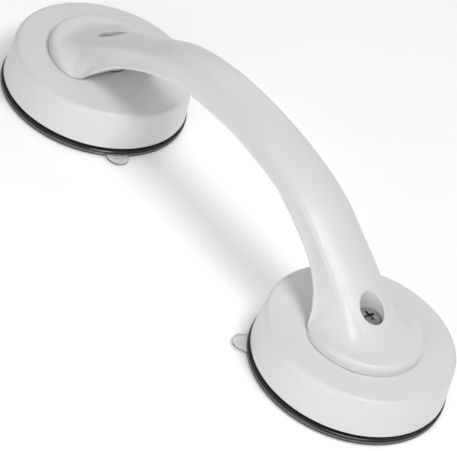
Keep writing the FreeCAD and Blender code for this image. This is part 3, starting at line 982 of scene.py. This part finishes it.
def closing_screws():
    """Two copies of the small screw, on the ends of a two-point line."""
    one = small_screw()
    nodes = Nodes("closing_screws", {"Half spacing": SCREW_PLACE * MM, "Seat height": well_seat() * MM})
    half, height = nodes.size("Half spacing"), nodes.size("Seat height")
    minus_half = nodes.add("ShaderNodeMath", {"operation": "MULTIPLY"}, {0: half, 1: -1.0})
    ends = {"Count": 2, "Start Location": nodes.vector(minus_half, 0.0, height),
            "Offset": nodes.vector(half, 0.0, height)}
    line = nodes.add("GeometryNodeMeshLine", {"mode": "END_POINTS"}, ends)
    untouched = {"transform_space": "ORIGINAL"}
    shape = nodes.add("GeometryNodeObjectInfo", untouched, {"Object": one}, output="Geometry")
    placed = nodes.finished(nodes.copies(line, shape), screw_steel)
    placed.data.set_sharp_from_angle(angle=math.radians(SHARP_STEEL))
    bpy.data.objects.remove(one)
    return placed


closing = closing_screws()
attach(closing, "handle")
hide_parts("handle_closing_screws")
print(size_of(closing))

# %% [markdown]
# ## The covers
#
# A cover is a shallow cap.  Its wall leans in by two millimetres towards the top
# and turns over into the top plate with a soft edge.  Inside are a ring that
# holds the cup's neck, a ring that presses on the cup, and eight ribs.

# %% Turn the covers
def cover_outline():
    """Up the outside, under the top plate, and round both rings."""
    outside = [(3.2, 24.0, 0), (45.1, 24.0, 2.6), (46.7, 4.6, 0.35)]
    inside = [(44.3, 4.6, 0.35), (42.7, 21.0, 0.8), (42.0, 21.0, 0), (42.0, 5.0, 0.3), (40.0, 5.0, 0.3),
              (40.0, 21.0, 0.6), (15.5, 21.0, 0.6), (15.5, 13.0, 0.3), (13.2, 13.0, 0.3), (13.2, 21.0, 0.2),
              (3.2, 21.0, 0)]
    return rounded(outside + inside, 8)


def cover_ribs(name, x):
    """Eight upright ribs from the neck ring to the pressing ring."""
    nodes = Nodes(name, {"Count": 8, "Middle radius": 27.75 * MM, "Length": 25.0 * MM,
                         "Thickness": 1.6 * MM, "Height": 9.3 * MM, "Middle height": 16.65 * MM,
                         "Axis x": x * MM, "First angle": math.radians(22.5)})
    ring_line = nodes.add("GeometryNodeCurvePrimitiveCircle", {"mode": "RADIUS"},
                          {"Resolution": nodes.size("Count"), "Radius": nodes.size("Middle radius")})
    points = nodes.add("GeometryNodeCurveToPoints", {"mode": "EVALUATED"}, {"Curve": ring_line})
    place = nodes.add("GeometryNodeInputPosition")
    outwards = nodes.add("FunctionNodeAlignRotationToVector", {"axis": "X"}, {"Vector": place})
    block_size = nodes.vector(nodes.size("Length"), nodes.size("Thickness"), nodes.size("Height"))
    block = nodes.add("GeometryNodeMeshCube", inputs={"Size": block_size})
    ribs = nodes.copies(points, block, outwards)
    moved = nodes.moved(ribs, nodes.size("Axis x"), nodes.size("Middle height"), nodes.size("First angle"))
    return nodes.finished(moved, cover_plastic)


for side_name, (x, _) in HEADS.items():
    cap = turned(side_name + "_cap", cover_outline(), x, [cover_plastic], 192, 40.0)
    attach(cap, side_name + "_head")
    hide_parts(side_name + "_cover")
    ribs = cover_ribs(side_name + "_cover_ribs", x)
    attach(ribs, side_name + "_head")
    print(size_of(cap), "/", size_of(ribs))

# %% [markdown]
# ## The suction cups
#
# The cup is one clear moulding: a shallow dome, a thick lip that seals on the
# wall, and a neck that grips the stiff hub.  It is turned from one outline.  The
# lip rises when the cup is pressed on.  Two beads run round the outer edge, with a
# fine groove between them.

# %% Turn the cups
DOME_RIM, DOME_HEIGHT, DOME_EDGE, DOME_THICKNESS = 43.5, 8.0, 0.35, 2.3
LIP_OUTSIDE = 46.55         # past this radius every face is the lip's edge with painted shade
LIP_INSIDE, LIP_LEVEL = 43.0, 2.0       # and so is a face past both of these


def dome(r):
    """Height of the dome's hollow above the wall."""
    return DOME_EDGE + (DOME_HEIGHT - DOME_EDGE) * (1 - (r / DOME_RIM) ** 2)


def cup_outline():
    """Out along the hollow and the seal, round the edge, and back over the neck."""
    under = [(r, dome(r), 0) for r in np.linspace(0, DOME_RIM, 15)]
    seal = [(43.9, 0.0, 0.2), (44.5, 0.0, 0.1), (44.7, 0.25, 0.1), (44.9, 0.0, 0.1), (45.6, 0.0, 0.1),
            (45.8, 0.25, 0.1), (46.0, 0.0, 0.1)]
    edge = [(47.0, 0.0, 0.4), (47.5, 0.55, 0.3), (47.45, 1.25, 0.15), (47.15, 1.45, 0.1), (47.2, 1.6, 0.1),
            (47.45, 1.8, 0.15), (47.4, 2.5, 0.3), (46.8, 3.0, 0.3)]
    over = [(44.2, 3.0, 0.5)] + [(r, dome(r) + DOME_THICKNESS, 0) for r in np.linspace(42.8, 13.8, 10)]
    neck = [(13.0, 9.75, 0.5), (13.0, 20.0, 0.4), (9.5, 20.0, 0.1), (9.5, 11.8, 0), (11.0, 11.8, 0),
            (11.0, 10.3, 0), (0, 10.3, 0)]
    return rounded(under + seal + edge + over + neck, 4)


def cup(side_name, x):
    piece = turned(side_name + "_cup", cup_outline(), x, [cup_rubber, edge_rubber], 192, 40.0)
    for face in piece.data.polygons:
        middle = face.center
        out = math.hypot(middle.x - x * MM, middle.y)
        # These faces take the lip's rubber with painted shade.
        if out > LIP_OUTSIDE * MM or (out > LIP_INSIDE * MM and middle.z > LIP_LEVEL * MM):
            face.material_index = 1
    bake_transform(piece)
    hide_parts(side_name + "_suction_cup", side_name + "_cup_lip")
    return piece


for side_name, (x, _) in HEADS.items():
    print(size_of(cup(side_name, x)))

# %% [markdown]
# ## The release tabs
#
# A small tongue stands out of the lip.  Lifting it lets air under the cup.  Its
# root is buried in the lip and bends like a living hinge.  A bead runs round its
# edge, and three small ridges give a fingertip its hold.

# %% Build the tabs
TAB_ROOT, TAB_TIP = 46.6, 54.5
TAB_WIDE, TIP_RADIUS = 13.6, 5.7
TAB_MIDDLE, TAB_HALF = 1.2, 0.6
PILLOW = 0.6                # the edge is rounded over this width
THINNING, THIN_FROM, THIN_OVER = 0.18, 0.7, 0.5      # the tongue is thinner inside its bead
# painted shade: the grey outline along the tongue's edge is this wide and fades over this much
EDGE_SHADE_WIDTH, EDGE_SHADE_FADE = 0.55, 0.35
TINY = 0.02
SHARP_TAB = 50.0


def tab_half_width(r):
    """Half the tongue's width at distance r from the cup's axis."""
    start = TAB_TIP - TIP_RADIUS
    if r > start:
        return math.sqrt(max(0.0, TIP_RADIUS ** 2 - (r - start) ** 2))
    share = (r - TAB_ROOT) / (start - TAB_ROOT)
    return TAB_WIDE / 2 + (TIP_RADIUS - TAB_WIDE / 2) * share


def inside_edge(r, across):
    """How far a point of the tongue is from its outline.  The root has none."""
    beside = max(tab_half_width(r), TINY) - abs(across)
    return min(beside, TAB_TIP - r) if r > 50.0 else beside


def clamped(value):
    return min(1.0, max(0.0, value))


def tongue(name, x, angle):
    """A pillow-edged tongue: rows run outwards, columns run across."""
    quarter = np.linspace(0, math.pi / 2, 22)
    rows = np.concatenate([np.linspace(TAB_ROOT, TAB_TIP - TIP_RADIUS, 12)[:-1],
                           TAB_TIP - TIP_RADIUS * (1 - np.sin(quarter))])
    columns = np.sin(np.linspace(-math.pi / 2, math.pi / 2, 25))
    vertices, faces = [], []
    for top in (1, -1):
        for r in rows:
            half = max(tab_half_width(r), TINY)
            for u in columns:
                edge = inside_edge(r, u * half)
                lift = TAB_HALF * math.sqrt(max(0.0, 1 - max(0.0, 1 - edge / PILLOW) ** 2))
                thin = THINNING * clamped((edge - THIN_FROM) / THIN_OVER)
                vertices.append((r, u * half, TAB_MIDDLE + top * (lift - thin)))
    n, m = len(rows), len(columns)
    for layer in (0, 1):
        for i in range(n - 1):
            for k in range(m - 1):
                a = layer * n * m + i * m + k
                faces.append((a, a + 1, a + m + 1, a + m))
    for k in range(m - 1):
        faces.append((k, k + 1, n * m + k + 1, n * m + k))
    turn, axis = Matrix.Rotation(math.radians(angle), 3, "Z"), Vector((x, 0, 0))
    piece = add_piece(name, [turn @ Vector(v) + axis for v in vertices], faces, [tab_rubber], SHARP_TAB)
    # Painted shade: a grey outline along the tongue's edge, where clear rubber looks dark.
    bead = piece.data.attributes.new("bead", "FLOAT", "POINT")
    for vertex, value in zip(piece.data.vertices, bead.data):
        r, across, _ = turn.inverted() @ (vertex.co / MM - axis)
        value.value = clamped((EDGE_SHADE_WIDTH - inside_edge(r, across)) / EDGE_SHADE_FADE)
    return piece


def grip_ridges(name, x, angle):
    """Three short ridges across the tongue, placed by nodes."""
    nodes = Nodes(name, {"Count": 3, "First radius": 50.2 * MM, "Step": 1.1 * MM, "Length": 5.4 * MM,
                         "Ridge radius": 0.10 * MM, "Height": (TAB_MIDDLE + TAB_HALF - 0.21) * MM,
                         "Axis x": x * MM, "Angle": math.radians(angle)})
    start = nodes.vector(nodes.size("First radius"), 0.0, nodes.size("Height"))
    line = nodes.add("GeometryNodeMeshLine", {"mode": "OFFSET"},
                     {"Count": nodes.size("Count"), "Start Location": start,
                      "Offset": nodes.vector(nodes.size("Step"))})
    bar = nodes.add("GeometryNodeMeshCylinder", {"fill_type": "NGON"},
                    {"Vertices": 12, "Radius": nodes.size("Ridge radius"), "Depth": nodes.size("Length")})
    quarter_turn = {"Axis": (1.0, 0.0, 0.0), "Angle": math.pi / 2}
    laid = nodes.add("FunctionNodeAxisAngleToRotation", inputs=quarter_turn)
    moved = nodes.moved(nodes.copies(line, bar, laid), nodes.size("Axis x"), 0.0, nodes.size("Angle"))
    ridges = nodes.finished(moved, tab_rubber)
    ridges.data.shade_smooth()
    ridges.data.set_sharp_from_angle(angle=math.radians(40))
    return ridges


for side_name, (x, angle) in HEADS.items():
    tab = joined(side_name + "_tab_tongue", [tongue(side_name + "_tongue", x, angle),
                                             grip_ridges(side_name + "_ridges", x, angle)])
    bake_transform(tab)
    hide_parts(side_name + "_release_tab")
    print(size_of(tab))

# %% [markdown]
# ## Pieces that keep their imported shape
#
# The hub, the nut and the washers are plain stock shapes that are mostly hidden,
# so their imported meshes stay and only get a finish.

# %% Finish the small hardware
# The slip washer's dark grey is painted shade, the shadow line under each collar.
FINISHES = {"cup_hub": hub_plastic, "hex_nut": washer_steel, "flat_washer": washer_steel,
            "spring_washer": screw_steel, "slip_washer": washer_plastic}
for side_name in HEADS:
    for part_name, material in FINISHES.items():
        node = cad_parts[side_name + "_" + part_name]
        node.data.materials.clear()
        node.data.materials.append(material)
print("finished", len(FINISHES) * len(HEADS), "packed pieces")

# %% [markdown]
# ## The floor's finish
#
# The floor glows a little, so that it stays pale round the bar.  Seen from below
# it is clear: the Backfacing output picks a transparent shader for that side, and
# the underside of the cups can be looked at.

# %% Finish the floor
def floor_colour(graph, place):
    return tint(graph, noise(graph, place, 3.0), grey(0.90), grey(0.93))


floor_plain = {"Roughness": 0.6, "Emission Color": (1.0, 1.0, 1.0, 1), "Emission Strength": 0.24}
floor_material = new_material("pale_floor", floor_plain, {"Base Color": floor_colour})
floor_tree = floor_material.node_tree
floor_graph = Shader(floor_tree)
solid = Wire(floor_tree, floor_tree.nodes["Principled BSDF"].outputs[0])
below = floor_graph.node("ShaderNodeNewGeometry", output="Backfacing")
open_side = floor_graph.node("ShaderNodeBsdfTransparent")
one_sided = floor_graph.node("ShaderNodeMixShader", inputs={0: below, 1: solid, 2: open_side})
floor_tree.links.new(one_sided.socket, floor_tree.nodes["Material Output"].inputs["Surface"])
floor.data.materials.append(floor_material)
print("the floor is", floor_material.name)
